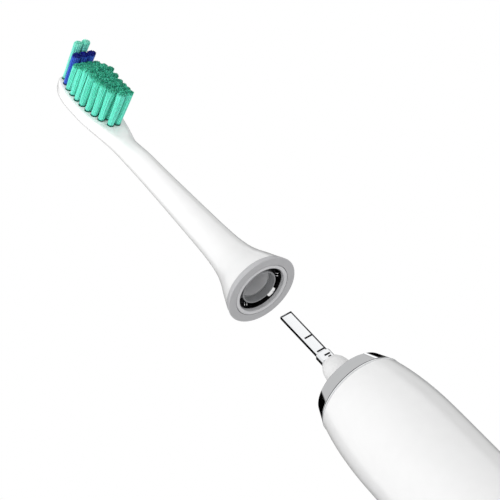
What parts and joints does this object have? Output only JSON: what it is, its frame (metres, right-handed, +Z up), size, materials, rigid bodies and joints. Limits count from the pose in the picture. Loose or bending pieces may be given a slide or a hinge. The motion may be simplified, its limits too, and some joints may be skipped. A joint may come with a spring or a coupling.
{
  "type": "sonic electric toothbrush",
  "caption": "Upright sonic toothbrush handle with a steel drive blade, rubber boot and chrome ring, and a push-on brush head standing off its seat.",
  "frame": {"origin": "middle of the flat foot that the handle stands on", "axes": "+Z up along the handle towards the brush head; -Y is the side of the bristles and of the power button"},
  "size_m": [0.0272, 0.0277, 0.2878],
  "materials": {
    "white_shell": "gloss",
    "soft_white": "soft satin",
    "white_rubber": "matt",
    "trim_chrome": "mirror",
    "clip_steel": "blued",
    "collar_grey": "satin",
    "insert_grey": "satin",
    "shaft_steel": "polished",
    "plain_steel": "plain",
    "iron": "plain",
    "magnet": "nickel plated",
    "bearing_bronze": "sintered",
    "copper_wire": "enamelled wire",
    "black_rubber": "matt",
    "black_plastic": "matt",
    "natural_plastic": "matt",
    "board_green": "satin",
    "cell_sleeve": "shrink sleeve",
    "clear_plastic": "frosted",
    "mint_bristle": "nylon filament",
    "navy_bristle": "nylon filament"
  },
  "bodies": {
    "handle": {"handle_shell": "white_shell", "bottom_cap": "white_shell", "bottom_cap_seal": "black_rubber", "button_seal": "black_rubber", "light_guide": "clear_plastic", "tact_switch": "black_plastic", "mode_led_1": "clear_plastic", "mode_led_2": "clear_plastic", "mode_led_3": "clear_plastic", "mode_led_4": "clear_plastic", "chassis": "natural_plastic", "circuit_board": "board_green", "controller_chip": "black_plastic", "driver_chip": "black_plastic", "charger_chip": "black_plastic", "board_capacitor": "cell_sleeve", "battery_cell": "cell_sleeve", "cell_tab_bottom": "plain_steel", "cell_tab_top": "plain_steel", "charging_coil": "copper_wire", "coil_former": "natural_plastic", "trim_ring": "trim_chrome", "front_cap": "white_shell", "front_cap_seal": "black_rubber", "front_bearing": "bearing_bronze", "shaft_boot": "white_rubber", "drive_frame": "natural_plastic", "stator_core": "iron", "stator_coil": "copper_wire", "coil_bobbin": "black_plastic", "torsion_anchor": "iron", "anchor_screw_left": "plain_steel", "anchor_screw_right": "plain_steel"},
    "drive": {"drive_shaft": "shaft_steel", "armature": "iron", "magnet_left": "magnet", "magnet_right": "magnet", "torsion_spring": "plain_steel"},
    "button": {"power_button": "soft_white"},
    "brush_head": {"brush_neck": "white_shell", "base_ring": "collar_grey", "clip_ring": "clip_steel", "socket_insert": "insert_grey", "grip_spring": "shaft_steel", "tuft_row_01": "mint_bristle", "tuft_row_02": "mint_bristle", "tuft_row_03": "mint_bristle", "tuft_row_04": "mint_bristle", "tuft_row_05": "mint_bristle", "tuft_row_06": "mint_bristle", "tuft_row_07": "mint_bristle", "tuft_row_08": "mint_bristle", "tuft_row_09": "navy_bristle", "tuft_row_10": "mint_bristle"}
  },
  "joints": [
    {"name": "blade_swing", "type": "hinge", "parent": "handle", "child": "drive", "pos_m": [0, 0, 0.165], "axis": [0, 0, 1], "range_deg": [-5, 5], "stiffness_Nm_per_rad": 0.3},
    {"name": "button_press", "type": "slide", "parent": "handle", "child": "button", "axis": [0, 1, 0], "range_m": [0, 0.0005], "stiffness_N_per_m": 2000},
    {"name": "head_push_on", "type": "slide", "parent": "drive", "child": "brush_head", "axis": [0, 0, 1], "range_m": [-0.0345, 0]}
  ]
}
